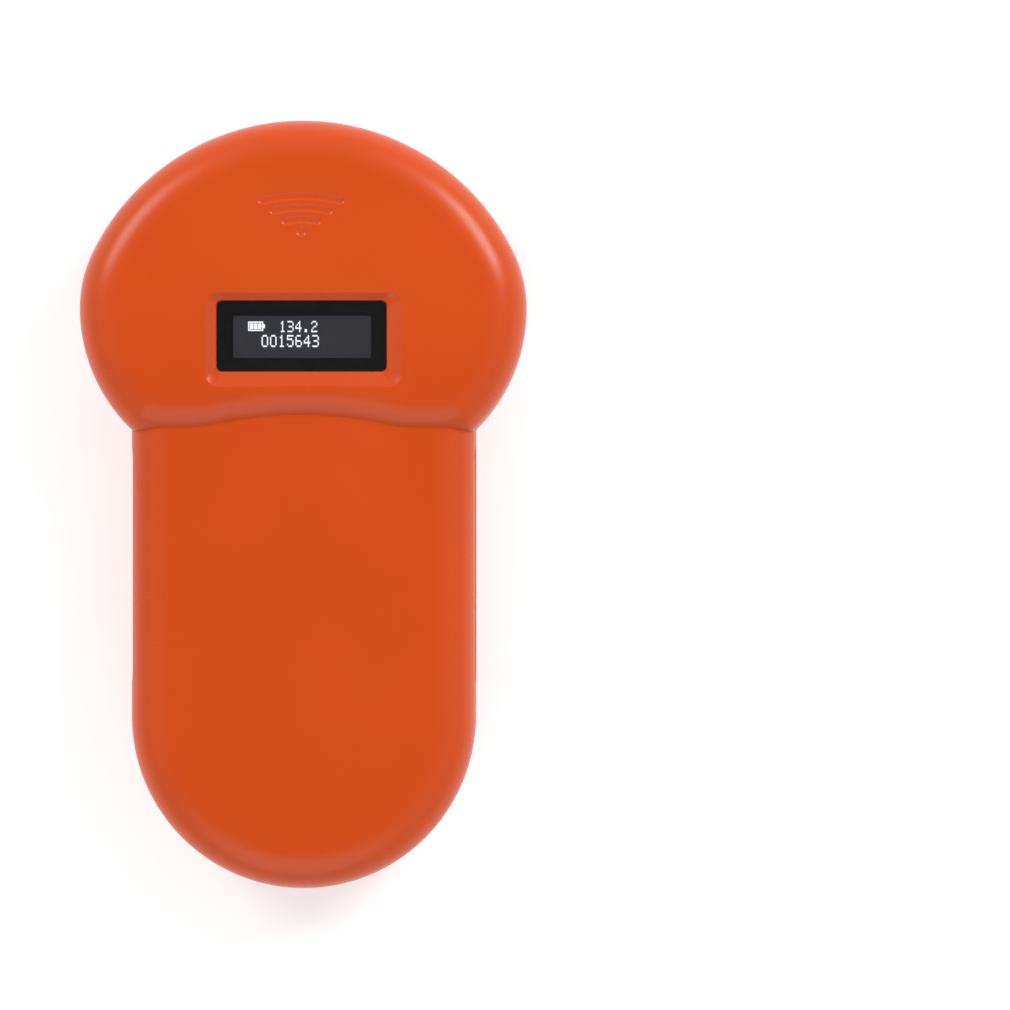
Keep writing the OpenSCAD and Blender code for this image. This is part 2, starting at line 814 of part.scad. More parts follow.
// A thin sprung dome whose crown rests on the plunger
module switch_dome() {
    outer = (pow(dome_half, 2) + pow(dome_height, 2)) / (2 * dome_height);
    color([0.8, 0.75, 0.6]) translate([0, trigger_y, cavity_top - dome_height])
        intersection() {
            translate([0, 0, outer]) difference() {
                sphere(r = outer);
                sphere(r = outer - dome_thick);
            }
            cylinder(r = 3, h = dome_height - touch);
        }
}

module switch_plunger() {
    color([0.85, 0.84, 0.8]) translate([0, trigger_y, 0]) {
        translate([0, 0, plunger_end_z]) cylinder(r = plunger_r, h = plunger_top_z - plunger_end_z);
        translate([0, 0, switch_face_z + cover_thick + 0.05]) cylinder(r = 2.25, h = 0.4);
    }
}

// ---- Trigger ------------------------------------------------------------------------------------

module trigger_button() {
    crown = 60;
    base = dish_pad_top + 0.05;
    color([0.12, 0.12, 0.13]) translate([0, trigger_y, 0]) {
        intersection() {
            translate([0, 0, trigger_face_z])
                slot_plate(trigger_width, trigger_length, base + 0.5 - trigger_face_z);
            translate([0, 0, trigger_face_z + crown]) sphere(r = crown);
        }
        translate([0, 0, base])
            slot_plate(trigger_width + 2 * flange_edge, trigger_length + 2 * flange_edge, flange_thick);
        translate([0, 0, base]) cylinder(r = 1.6, h = plunger_end_z - 0.05 - base);
        for (a = [0, 90]) rotate([0, 0, a]) box_at([0, 0], [8, 1, plunger_end_z - 1.5 - base], base);
    }
}

// ---- Antenna ------------------------------------------------------------------------------------

module coil_section(grow) {
    translate([coil_inner - grow, coil_z - grow])
        square([coil_outer - coil_inner + 2 * grow, coil_height + 2 * grow]);
}

module antenna_coil() {
    color([0.72, 0.35, 0.15]) translate([0, coil_y, 0]) rotate_extrude() difference() {
        coil_section(0);
        // The windings bulge past the sides in rows
        for (i = [0:8], x = [coil_inner, coil_outer])
            translate([x, coil_z + i * coil_height / 8]) rotate(45) square(0.3, center = true);
    }
}

module antenna_tape() {
    color([0.8, 0.6, 0.15]) translate([0, coil_y, 0]) for (a = [90, 210, 330])
        rotate([0, 0, a - 8]) rotate_extrude(angle = 16) difference() {
            coil_section(0.2);
            coil_section(touch);
        }
}

module antenna_lead_start() {
    color([0.72, 0.35, 0.15]) wire(start_route, coil_wire_d);
}

module antenna_lead_end() {
    color([0.72, 0.35, 0.15]) wire(end_route, coil_wire_d);
}

// ---- Battery ------------------------------------------------------------------------------------

module battery_cell() {
    color([0.7, 0.71, 0.73]) translate([0, battery_y, battery_z + battery_depth / 2]) rotate([-90, 0, 0])
        plate([battery_width, battery_depth], battery_length, 2);
}

module battery_guard_board() {
    color(board_green)
        box_at([0, battery_y + battery_length + guard_length / 2],
               [battery_width - 4, guard_length - 0.6, 0.8], battery_z + battery_depth / 2 + 1);
}

module battery_tape() {
    color([0.85, 0.6, 0.1]) translate([0, battery_y + battery_length - 5, battery_z + battery_depth / 2])
        rotate([-90, 0, 0]) difference() {
            plate([battery_width + 0.4, battery_depth + 0.4], 4, 2.2);
            translate([0, 0, -1]) plate([battery_width + 2 * touch, battery_depth + 2 * touch], 6, 2 + touch);
        }
}

module battery_pad() {
    color([0.2, 0.2, 0.2]) box_at([0, battery_y + battery_length / 2 - 4],
        [battery_width - 6, battery_length - 14, pad_thick - 2 * touch], wall + touch);
}

module battery_lead_red() {
    color([0.75, 0.08, 0.06]) wire(red_route, wire_d);
}

module battery_lead_black() {
    color([0.05, 0.05, 0.05]) wire(black_route, wire_d);
}

module battery_header() {
    color([0.9, 0.88, 0.82]) translate([plug_x, header_y + header_length / 2, 0]) difference() {
        box_at([0, 0], [header_width, header_length, header_height], board_bottom - header_height - touch);
        box_at([0, -1.5], [header_width - 1.4, header_length, header_height - 1.4],
               board_bottom - header_height + 0.7);
    }
    color(steel) for (x = [-1, 1]) translate([plug_x + x * plug_pitch / 2, 0, 0]) {
        box_at([0, header_pin_y], [0.5, 0.5, 4], board_bottom - 2.4);
        box_at([0, header_pin_y - 1.5], [0.5, 3, 0.5], board_bottom - header_height / 2 - 0.3);
    }
}

module battery_plug() {
    color([0.93, 0.91, 0.85]) difference() {
        box_at([plug_x, header_y + 0.75], [header_width - 1.6, 3.5, header_height - 1.6],
               board_bottom - header_height + 0.8);
        for (x = [-1, 1]) box_at([plug_x + x * plug_pitch / 2, header_y + 2], [0.6, 2.4, 0.6],
                                 board_bottom - header_height / 2 - 0.35);
    }
}

front_cover();
back_cover();
case_screws();
display_window();
window_tape();
oled_glass();
oled_flex();
display_holder();
main_board();
board_screws();
controller_chip();
reader_chip();
charger_chip();
crystal();
board_capacitors();
board_resistors();
tuning_capacitors();
power_inductor();
buzzer();
buzzer_pins();
usb_shell();
usb_tongue();
usb_contacts();
switch_housing();
switch_cover();
switch_terminals();
switch_dome();
switch_plunger();
trigger_button();
antenna_coil();
antenna_tape();
antenna_lead_start();
antenna_lead_end();
battery_cell();
battery_guard_board();
battery_tape();
battery_pad();
battery_lead_red();
battery_lead_black();
battery_plug();
battery_header();
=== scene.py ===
import json
import math

import bpy
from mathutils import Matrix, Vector


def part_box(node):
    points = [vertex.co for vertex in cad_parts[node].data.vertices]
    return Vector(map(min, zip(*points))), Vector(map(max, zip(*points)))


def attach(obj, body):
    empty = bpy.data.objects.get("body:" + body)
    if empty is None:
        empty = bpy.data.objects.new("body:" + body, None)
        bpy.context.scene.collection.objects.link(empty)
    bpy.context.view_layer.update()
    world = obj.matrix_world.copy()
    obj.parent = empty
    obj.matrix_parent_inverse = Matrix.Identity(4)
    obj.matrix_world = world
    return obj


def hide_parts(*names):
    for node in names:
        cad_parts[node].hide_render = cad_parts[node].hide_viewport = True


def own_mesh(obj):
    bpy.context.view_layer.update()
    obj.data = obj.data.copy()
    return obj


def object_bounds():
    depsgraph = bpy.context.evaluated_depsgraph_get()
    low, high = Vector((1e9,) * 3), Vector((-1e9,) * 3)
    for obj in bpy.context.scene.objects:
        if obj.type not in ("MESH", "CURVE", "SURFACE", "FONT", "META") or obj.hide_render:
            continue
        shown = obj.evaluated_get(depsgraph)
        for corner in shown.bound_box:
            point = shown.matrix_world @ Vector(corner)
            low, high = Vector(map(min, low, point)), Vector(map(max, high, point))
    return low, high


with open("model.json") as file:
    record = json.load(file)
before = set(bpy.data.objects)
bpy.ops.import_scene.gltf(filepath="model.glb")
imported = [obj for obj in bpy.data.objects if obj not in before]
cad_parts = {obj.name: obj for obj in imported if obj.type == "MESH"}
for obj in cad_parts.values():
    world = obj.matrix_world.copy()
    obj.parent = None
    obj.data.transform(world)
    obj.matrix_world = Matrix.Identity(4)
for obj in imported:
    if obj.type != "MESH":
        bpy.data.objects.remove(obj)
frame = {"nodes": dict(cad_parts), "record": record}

CAD_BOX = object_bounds()
MM = 0.001
CASING = "casing"
TRIGGER = "trigger"

# ---- Dimensions in millimetres -------------------------------------------------------------------
# The overall length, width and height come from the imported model. Most others repeat its sizes. The
# grooves of the wave mark are wider here than in it, because their edges are soft.

HALF_LENGTH = (CAD_BOX[1][1] - CAD_BOX[0][1]) / 2 / MM
HEAD_HALF = (CAD_BOX[1][0] - CAD_BOX[0][0]) / 2 / MM
HEAD_TOP = CAD_BOX[1][2] / MM
HANDLE_TOP = 22.5
SEAM = 13
WALL = 2
RIM = 8
BACK_RIM = 6
REVEAL = 0.25

HANDLE_R = 30.9
TAIL_Y = HANDLE_R - HALF_LENGTH
HEAD_ARC_R = 41.9
HEAD_Y = HALF_LENGTH - HEAD_ARC_R
WIDEST_Y = HALF_LENGTH - 33.6
SHOULDER_R = (HEAD_ARC_R**2 - HEAD_HALF**2 - (WIDEST_Y - HEAD_Y) ** 2) / (2 * (HEAD_ARC_R - HEAD_HALF))
SHOULDER_X = HEAD_HALF - SHOULDER_R
SHOULDER_ANGLE = math.degrees(math.atan2(WIDEST_Y - HEAD_Y, SHOULDER_X))
LOWER_R = 30.1
LOWER_X = HEAD_HALF - LOWER_R
NECK_R = 0.8
NECK_X = HANDLE_R + NECK_R
NECK_ANGLE = math.degrees(math.acos((NECK_X - LOWER_X) / (LOWER_R + NECK_R)))
NECK_Y = WIDEST_Y - (LOWER_R + NECK_R) * math.sin(math.radians(NECK_ANGLE))

LEDGE_CREST_Y = 14.2
ARCH_HALF = 20
ARCH_RISE = 2.2
ARCH_ANGLE = math.degrees(2 * math.atan(ARCH_RISE / ARCH_HALF))
ARCH_R = 70
ARCH_BLEND_R = ARCH_HALF / math.sin(math.radians(ARCH_ANGLE)) - ARCH_R
LEDGE_Y = LEDGE_CREST_Y - ARCH_RISE
LEDGE_END_X = 23
LEDGE_END_R = 24

WINDOW_Y = 30
WINDOW = (30.3, 12.7)
WINDOW_BACKING = (35.3, 17.7)
DISPLAY_OPENING = (26, 9)
LIT_FIELD = (24.5, 7.5)
WINDOW_TOP = HEAD_TOP - 1.2
BEVEL = {"left": 1.6, "right": 2.4, "top": 1.2, "bottom": 2.5}

WAVE_APEX_Y = 47.8
WAVE_CROWNS = (6.95, 4.9, 2.8)
WAVE_FLATNESS = 4.2
WAVE_SPOT_Y = 48.4
WAVE_SPOT_R = 0.95
WAVE_STROKE = 1.6
WAVE_DEPTH = 0.2

TRIGGER_Y = 1
TRIGGER_SIZE = (12, 20)
TRIGGER_FACE = 0.5
DISH_HALF = 15
DISH_DEPTH = 2.4
SCREWS = ((31, 40), (22, 9), (20.5, -46))
SCREW_HEAD_R = 2.4
POST_R = 3
POST_FOOT = 9.5
SOUND_Y = 44
SOUND_PITCH = 2
SOCKET = (8.2, 3.2, 1)
SOCKET_MOUTH = (8.9, 3.9, 1.35)
GRIP_Y = -10.7
GRIP = (42.5, 9, 0.35)

FLOOR_GLOW = 0.4

# The camera in metres: its place, the height of the outline that it is scaled to, and the width it sees
CAMERA_X = 0.0361
CAMERA_Z = 0.75
OUTLINE_Z = 0.0165
SEEN_WIDTH = 0.181
SENSOR_WIDTH = 36


# ---- Mesh tools ---------------------------------------------------------------------------------


def mesh_object(name, points, faces):
    """A mesh from points in millimetres."""
    mesh = bpy.data.meshes.new(name)
    mesh.from_pydata([tuple(c * MM for c in p) for p in points], [], faces)
    mesh.update()
    obj = bpy.data.objects.new(name, mesh)
    bpy.context.scene.collection.objects.link(obj)
    return obj


def loft(name, rings):
    """A closed solid through rings of points that run anticlockwise, one above the other."""
    count = len(rings[0])
    points = [p for ring in rings for p in ring]
    faces = [tuple(range(count))[::-1]]
    for level in range(len(rings) - 1):
        for k in range(count):
            a = level * count + k
            b = level * count + (k + 1) % count
            faces.append((a, b, b + count, a + count))
    top = (len(rings) - 1) * count
    faces.append(tuple(range(top, top + count)))
    return mesh_object(name, points, faces)


def stack(name, outline, levels):
    """A loft of an outline function over (inset, height) levels, lowest first."""
    return loft(name, [[(x, y, z) for x, y in outline(inset)] for inset, z in levels])


def delete(obj):
    mesh = obj.data
    bpy.data.objects.remove(obj)
    bpy.data.meshes.remove(mesh)


def combine(obj, tools, operation):
    """Applies an exact boolean of obj with each tool, and removes the tools."""
    for tool in tools:
        modifier = obj.modifiers.new("boolean", "BOOLEAN")
        modifier.operation = operation
        modifier.solver = "EXACT"
        modifier.object = tool
        bpy.context.view_layer.update()
        graph = bpy.context.evaluated_depsgraph_get()
        result = bpy.data.meshes.new_from_object(obj.evaluated_get(graph))
        old = obj.data
        obj.modifiers.clear()
        obj.data = result
        bpy.data.meshes.remove(old)
        delete(tool)
    return obj


def soften(obj, angle=32):
    """Smooth shading that breaks at real edges, with flat faces left flat."""
    obj.data.polygons.foreach_set("use_smooth", [True] * len(obj.data.polygons))
    obj.data.set_sharp_from_angle(angle=math.radians(angle))
    weighted = obj.modifiers.new("weighted_normals", "WEIGHTED_NORMAL")
    weighted.keep_sharp = True
    weighted.weight = 100
    return obj


def moved(points, dx, dy):
    return [(x + dx, y + dy) for x, y in points]


def arc(centre, r, start, end, steps):
    angles = [math.radians(start + (end - start) * i / steps) for i in range(steps + 1)]
    return [(centre[0] + r * math.cos(a), centre[1] + r * math.sin(a)) for a in angles]


def whole(half):
    """A closed outline from its right half, which starts and ends on the middle line."""
    return half + [(-x, y) for x, y in reversed(half[1:-1])]


def circle(r, steps=48):
    return lambda inset: arc((0, 0), r - inset, 0, 360 * (steps - 1) / steps, steps - 1)


def rounded_box(w, h, r, steps=8):
    """An outline function for a rectangle with round corners."""

    def outline(inset):
        corner = max(r - inset, 0.02)
        x, y = w / 2 - inset - corner, h / 2 - inset - corner
        corners = ((x, -y, -90), (x, y, 0), (-x, y, 90), (-x, -y, 180))
        return [p for cx, cy, a in corners for p in arc((cx, cy), corner, a, a + 90, steps)]

    return outline


def slot_shape(w, length, steps=20):
    """An outline function for a shape with half-round ends, its long side along Y."""
    y = (length - w) / 2

    def outline(inset):
        r = w / 2 - inset
        return arc((0, y), r, 0, 180, steps) + arc((0, -y), r, 180, 360, steps)

    return outline


def stroke_shape(r, half_angle, w, steps=28):
    """An outline function for a stroke along an arc about the origin, with round ends."""

    def outline(inset):
        half = w / 2 - inset
        a = math.radians(half_angle)
        right = (r * math.sin(a), r * math.cos(a))
        left = (-right[0], right[1])
        outer = arc((0, 0), r + half, 90 - half_angle, 90 + half_angle, steps)
        inner = arc((0, 0), r - half, 90 + half_angle, 90 - half_angle, steps)
        end = arc(left, half, 90 + half_angle, 270 + half_angle, 10)[1:-1]
        start = arc(right, half, 270 - half_angle, 450 - half_angle, 10)[1:-1]
        return outer + end + inner + start

    return outline


# ---- Outlines of the body -----------------------------------------------------------------------


def head_upper(inset):
    shoulder = arc((SHOULDER_X, WIDEST_Y), SHOULDER_R - inset, 0, SHOULDER_ANGLE, 12)
    crown = arc((0, HEAD_Y), HEAD_ARC_R - inset, SHOULDER_ANGLE, 90, 40)
    return shoulder + crown[1:]


def body_outline(inset):
    r = HANDLE_R - inset
    tail = arc((0, TAIL_Y), r, -90, 0, 40)
    side = [(r, TAIL_Y + (NECK_Y - TAIL_Y) * i / 16) for i in range(1, 16)]
    neck = arc((NECK_X, NECK_Y), NECK_R + inset, 180, 180 - NECK_ANGLE, 8)
    lower = arc((LOWER_X, WIDEST_Y), LOWER_R - inset, -NECK_ANGLE, 0, 22)[1:-1]
    return whole(tail + side + neck + lower + head_upper(inset))


def head_outline(inset):
    end_centre = Vector((LEDGE_END_X, LEDGE_Y + LEDGE_END_R))
    lower_centre = Vector((LOWER_X, WIDEST_Y))
    end_r, lower_r = LEDGE_END_R - inset, LOWER_R - inset
    gap = lower_centre - end_centre
    bend = math.acos((end_r**2 + gap.length_squared - lower_r**2) / (2 * end_r * gap.length))
    turn = math.degrees(math.atan2(gap.y, gap.x) + bend) % 360
    corner = arc(end_centre, end_r, turn, turn, 1)[0]
    rise = math.degrees(math.atan2(corner[1] - lower_centre.y, corner[0] - lower_centre.x))
    crest = arc((0, LEDGE_CREST_Y - ARCH_R), ARCH_R + inset, 90, 90 - ARCH_ANGLE, 20)
    blend_centre = (ARCH_HALF, LEDGE_Y + ARCH_BLEND_R)
    blend = arc(blend_centre, ARCH_BLEND_R - inset, 270 - ARCH_ANGLE, 270, 12)
    end = arc(end_centre, end_r, 270, turn, 10)[:-1]
    lower = arc(lower_centre, lower_r, rise, 0, 22)[:-1]
    return whole(crest + blend[1:] + end + lower + head_upper(inset))


def edge_profile(rise, rim, chamfer=0, steps=16, power=2.2):
    """(inset, height) from the foot of an edge to its flat top, over a soft round corner."""
    foot = [(chamfer, 0), (chamfer * 0.3, chamfer * 0.35), (0, chamfer)] if chamfer else [(0, 0)]
    curve = []
    for i in range(steps + 1):
        a = math.pi / 2 * i / steps
        run = 1 - max(math.cos(a), 0) ** (2 / power)
        lift = 1 - math.sin(a) ** (2 / power)
        curve.append((rim * run, rise - rim * lift))
    return foot + curve


def raised(levels, z, inset=0, sign=1):
    return [(i + inset, z + sign * h) for i, h in levels]


def front_block(name, inset, head_top, handle_top, rim, chamfer=0):
    """The solid body above the seam: the handle's block joined to the head's higher one."""
    body = stack(name, body_outline, raised(edge_profile(handle_top - SEAM, rim, chamfer), SEAM, inset))
    head = stack("head", head_outline, raised(edge_profile(head_top - SEAM, rim, chamfer), SEAM, inset))
    return combine(body, [head], "UNION")


def back_block(name, inset, floor, rim, chamfer=0):
    """The solid body below the seam."""
    levels = raised(edge_profile(SEAM - floor, rim, chamfer), SEAM, inset, -1)
    return stack(name, body_outline, levels[::-1])


# ---- Cutters ------------------------------------------------------------------------------------


def window_recess():
    """The sloping frame round the window, wider below and on the right than above and on the left."""
    w, h = WINDOW[0] + 0.24, WINDOW[1] + 0.24
    dx = (BEVEL["right"] - BEVEL["left"]) / 2
    dy = (BEVEL["top"] - BEVEL["bottom"]) / 2
    outer = rounded_box(w + BEVEL["left"] + BEVEL["right"], h + BEVEL["top"] + BEVEL["bottom"], 2)(0)
    inner = rounded_box(w, h, 1)(0)
    rings = []
    for t, z in ((0, WINDOW_TOP), (0.93, HEAD_TOP - 0.14), (1.0, HEAD_TOP - 0.04), (1.1, HEAD_TOP + 0.03)):
        ring = []
        for (xi, yi), (xo, yo) in zip(inner, outer):
            x = xi + (xo + dx - xi) * t
            y = yi + (yo + dy - yi) * t
            ring.append((x, y + WINDOW_Y, z))
        rings.append(ring)
    return loft("recess", rings)


def shifted(outline, dx, dy):
    return lambda inset: moved(outline(inset), dx, dy)


def engraving():
    """Three flat waves that fan out above a spot, as soft-edged grooves in the head's front."""
    steps = 10
    levels = []
    for i in range(steps):
        z = -WAVE_DEPTH / 2 * (1 + math.cos(math.pi * i / steps))
        levels.append((0.5 * (1 - i / steps), HEAD_TOP + z))
    levels.append((-0.05, HEAD_TOP + 0.03))
    half_angle = math.degrees(math.asin(1 / WAVE_FLATNESS))
    tools = []
    for crown in WAVE_CROWNS:
        r = WAVE_FLATNESS * crown
        stroke = shifted(stroke_shape(r, half_angle, WAVE_STROKE), 0, WAVE_APEX_Y + crown - r)
        tools.append(stack("wave", stroke, levels))
    tools.append(stack("wave", shifted(circle(WAVE_SPOT_R), 0, WAVE_SPOT_Y), levels))
    return tools


def hole(name, x, y, r, top, flare, steps=48):
    """A round cutter up from the flat back, with a flared mouth."""
    levels = [(-flare - 0.3, -0.3), (-flare, 0), (-flare * 0.3, flare * 0.6), (0, flare * 1.2), (0, top)]
    return stack(name, shifted(circle(r, steps), x, y), levels)


def grip_cutter(side):
    """A shallow panel with round ends in the handle's side, its floor ramped at both ends."""
    length, height, depth = GRIP
    sections = []
    steps = 96
    for i in range(steps + 1):
        t = -length / 2 * math.cos(math.pi * i / steps)
        past = max(abs(t) - (length - height) / 2, 0)
        h = math.sqrt(max((height / 2) ** 2 - past**2, 0)) + 1.5
        y = GRIP_Y + t
        floor, outside = HANDLE_R - depth, HANDLE_R + 1
        half = [(floor - 0.2, 0), (floor, REVEAL), (floor, h - 1.2), (floor + 0.3 * depth, h - 0.5),
                (floor + depth, h), (outside, h + 0.2)]
        ring = [(x, SEAM + z) for x, z in half] + [(x, SEAM - z) for x, z in reversed(half[1:])]
        section = [(side * x, y, z) for x, z in ring]
        sections.append(section if side > 0 else section[::-1])
    return loft("grip", sections)


def socket_cutter():
    """The charging socket's opening in the tail, across the seam, with a flared mouth."""
    narrow = rounded_box(*SOCKET)(0)
    wide = rounded_box(*SOCKET_MOUTH)(0)
    places = ((narrow, 5), (narrow, 0.45), (wide, -0.1), (wide, -1))
    rings = [[(x, -HALF_LENGTH + past, SEAM + z) for x, z in ring] for ring, past in places]
    return loft("socket", rings)


def both(make, places):
    return [make(side * x, y) for x, y in places for side in (-1, 1)]


def post(x, y, r, bottom, top):
    return stack("post", shifted(circle(r, 32), x, y), [(0, bottom), (0, top)])


# ---- Covers -------------------------------------------------------------------------------------


def post_top(y):
    """A front post ends inside the wall above it, which is higher in the head."""
    return (HEAD_TOP if y > NECK_Y else HANDLE_TOP) - 1.5


def front_cover():
    """The front half: shell, window recess and pocket, screw posts, socket opening and wave mark."""
    cover = front_block("front_shell", 0, HEAD_TOP, HANDLE_TOP, RIM, REVEAL)
    inside = front_block("inside", WALL, HEAD_TOP - WALL, HANDLE_TOP - WALL, RIM - WALL)
    combine(cover, [inside], "DIFFERENCE")
    rebate = stack("rebate", body_outline, [(1, SEAM - 1), (1, SEAM + 1.4)])
    combine(cover, [rebate], "DIFFERENCE")
    backing_shape = shifted(rounded_box(*WINDOW_BACKING, 1), 0, WINDOW_Y)
    backing = stack("backing", backing_shape, [(0, 21.6), (0, HEAD_TOP - 1.7)])
    posts = both(lambda x, y: post(x, y, POST_R, POST_FOOT, post_top(y)), SCREWS)
    combine(cover, [backing] + posts, "UNION")
    pocket_shape = shifted(rounded_box(*WINDOW, 1), 0, WINDOW_Y)
    pocket = stack("pocket", pocket_shape, [(0, 22.6), (0, WINDOW_TOP + 0.01)])
    opening_shape = shifted(rounded_box(*DISPLAY_OPENING, 0.8), 0, WINDOW_Y)
    opening = stack("opening", opening_shape, [(0, 20), (0, 23)])
    screw_holes = both(lambda x, y: post(x, y, 1.1, 9, 17), SCREWS)
    cuts = [window_recess(), pocket, opening, socket_cutter(), grip_cutter(1), grip_cutter(-1)]
    combine(cover, cuts + engraving() + screw_holes, "DIFFERENCE")
    return soften(cover)


def back_cover():
    """The back half: shell, lip, screw posts, finger dish, trigger slot and sound holes."""
    cover = back_block("back_shell", 0, 0, BACK_RIM, REVEAL)
    lip = stack("lip", body_outline, [(1.05, SEAM - WALL), (1.05, SEAM + 1.3)])
    combine(cover, [lip], "UNION")
    combine(cover, [back_block("inside", WALL, WALL, BACK_RIM - WALL)], "DIFFERENCE")
    combine(cover, [stack("mouth", body_outline, [(WALL, SEAM - 1), (WALL, SEAM + 2)])], "DIFFERENCE")
    posts = both(lambda x, y: post(x, y, POST_R, 1, POST_FOOT), SCREWS)
    pad = post(0, TRIGGER_Y, DISH_HALF + 1.7, 1, 4.6)
    combine(cover, posts + [pad], "UNION")
    sphere_r = (DISH_HALF**2 + DISH_DEPTH**2) / (2 * DISH_DEPTH)
    levels = []
    steps = 24
    for i in range(steps + 1):
        r = (DISH_HALF + 0.9) * (1 - i / steps) + 0.3 * i / steps
        levels.append((-r, DISH_DEPTH - sphere_r + math.sqrt(sphere_r**2 - r**2)))
    dish = stack("dish", shifted(circle(0, 96), 0, TRIGGER_Y), [(levels[0][0] - 0.6, -1)] + levels)
    slot = stack("slot", shifted(slot_shape(12.4, 20.4), 0, TRIGGER_Y), [(0, -1), (0, 8)])
    recesses = both(lambda x, y: hole("recess", x, y, SCREW_HEAD_R, 4, 0.35), SCREWS)
    screw_holes = both(lambda x, y: post(x, y, 1.25, 3, 10), SCREWS)
    sound = [hole("sound", SOUND_PITCH * i, SOUND_Y, 0.6, 3, 0.15, steps=24) for i in range(-2, 3)]
    cuts = [dish, slot, socket_cutter(), grip_cutter(1), grip_cutter(-1)]
    combine(cover, cuts + recesses + screw_holes + sound, "DIFFERENCE")
    return soften(cover)


def trigger():
    """The crowned button, with a shallow dip for the fingertip, on its flange and post."""
    outline = shifted(slot_shape(*TRIGGER_SIZE, steps=28), 0, TRIGGER_Y)
    wide = shifted(slot_shape(TRIGGER_SIZE[0] + 3, TRIGGER_SIZE[1] + 3, steps=28), 0, TRIGGER_Y)
    face = []
    steps = 24
    for i in range(steps, -1, -1):
        inset = 5.95 * i / steps
        corner = max(1 - inset / 1.1, 0)
        dip = 0.32 * (1 - math.cos(math.pi * min(max(inset - 1.1, 0) / 4.5, 1))) / 2
        face.append((inset, TRIGGER_FACE + 1.1 * (1 - math.sqrt(1 - corner**2)) + dip))
    button = stack("trigger_cap", outline, face + [(0, 4.7)])
    flange = stack("flange", wide, [(0.15, 4.65), (0, 4.8), (0, 5.5), (0.15, 5.65)])
    stem = post(0, TRIGGER_Y, 1.6, 5, 9.7)
    combine(button, [flange, stem], "UNION")
    return soften(button, 40)


# ---- Materials ----------------------------------------------------------------------------------


def new_material(name):
    material = bpy.data.materials.new(name)
    material.use_nodes = True
    nodes = material.node_tree.nodes
    shader = nodes["Principled BSDF"]
    return material, nodes, material.node_tree.links, shader


def texture_point(nodes, links, scale=(1, 1, 1)):
    """Object coordinates, stretched by scale."""
    where = nodes.new("ShaderNodeTexCoord")
    mapping = nodes.new("ShaderNodeMapping")
    mapping.inputs["Scale"].default_value = scale
    links.new(where.outputs["Object"], mapping.inputs["Vector"])
    return mapping.outputs["Vector"]


def noise(nodes, links, point, size_mm, detail=2.0):
    texture = nodes.new("ShaderNodeTexNoise")
    texture.inputs["Scale"].default_value = 1 / (size_mm * MM)
    texture.inputs["Detail"].default_value = detail
    links.new(point, texture.inputs["Vector"])
    return texture.outputs["Fac"]


def ramp(nodes, links, value, stops):
    """Colours or greys along a value. stops are (position, rgb) pairs."""
    node = nodes.new("ShaderNodeValToRGB")
    elements = node.color_ramp.elements
    while len(elements) < len(stops):
        elements.new(0.5)
    for element, (position, rgb) in zip(elements, stops):
        element.position = position
        element.color = (*rgb, 1)
    links.new(value, node.inputs["Fac"])
    return node.outputs["Color"]


def grey(value):
    return (value, value, value)


def surface(name, low, high, rough, blotch_mm=8, grain_mm=0.4, grain=0.0, metallic=0.0, coat=0.0,
            stretch=(1, 1, 1), specular=0.5):
    """A material whose colour drifts between two shades, with a fine grain in its gloss and relief."""
    material, nodes, links, shader = new_material(name)
    point = texture_point(nodes, links, stretch)
    drift = noise(nodes, links, point, blotch_mm, 3)
    links.new(ramp(nodes, links, drift, ((0.3, low), (0.7, high))), shader.inputs["Base Color"])
    fine = noise(nodes, links, point, grain_mm, 2)
    gloss = ramp(nodes, links, fine, ((0.3, grey(rough[0])), (0.7, grey(rough[1]))))
    links.new(gloss, shader.inputs["Roughness"])
    if grain:
        bump = nodes.new("ShaderNodeBump")
        bump.inputs["Strength"].default_value = grain
        bump.inputs["Distance"].default_value = 0.03 * MM
        links.new(fine, bump.inputs["Height"])
        links.new(bump.outputs["Normal"], shader.inputs["Normal"])
    shader.inputs["Metallic"].default_value = metallic
    shader.inputs["Specular IOR Level"].default_value = specular
    shader.inputs["Coat Weight"].default_value = coat
    shader.inputs["Coat Roughness"].default_value = 0.15
    return material


def orange_shell():
    """Satin moulded plastic with a fine spark-eroded texture and a few faint rub marks."""
    material, nodes, links, shader = new_material("orange_shell")
    point = texture_point(nodes, links)
    drift = noise(nodes, links, point, 30, 3)
    shades = ((0.3, (0.465, 0.052, 0.0055)), (0.7, (0.495, 0.0565, 0.0065)))
    links.new(ramp(nodes, links, drift, shades), shader.inputs["Base Color"])
    fine = noise(nodes, links, point, 0.35, 2)
    scuff = noise(nodes, links, texture_point(nodes, links, (1, 0.12, 1)), 1.5, 4)
    mix = nodes.new("ShaderNodeMath")
    mix.operation = "ADD"
    links.new(fine, mix.inputs[0])
    links.new(scuff, mix.inputs[1])
    gloss = ramp(nodes, links, mix.outputs[0], ((0.6, grey(0.25)), (1.0, grey(0.31))))
    links.new(gloss, shader.inputs["Roughness"])
    bump = nodes.new("ShaderNodeBump")
    bump.inputs["Strength"].default_value = 0.25
    bump.inputs["Distance"].default_value = 0.02 * MM
    links.new(fine, bump.inputs["Height"])
    links.new(bump.outputs["Normal"], shader.inputs["Normal"])
    shader.inputs["Specular IOR Level"].default_value = 0.23
    return material


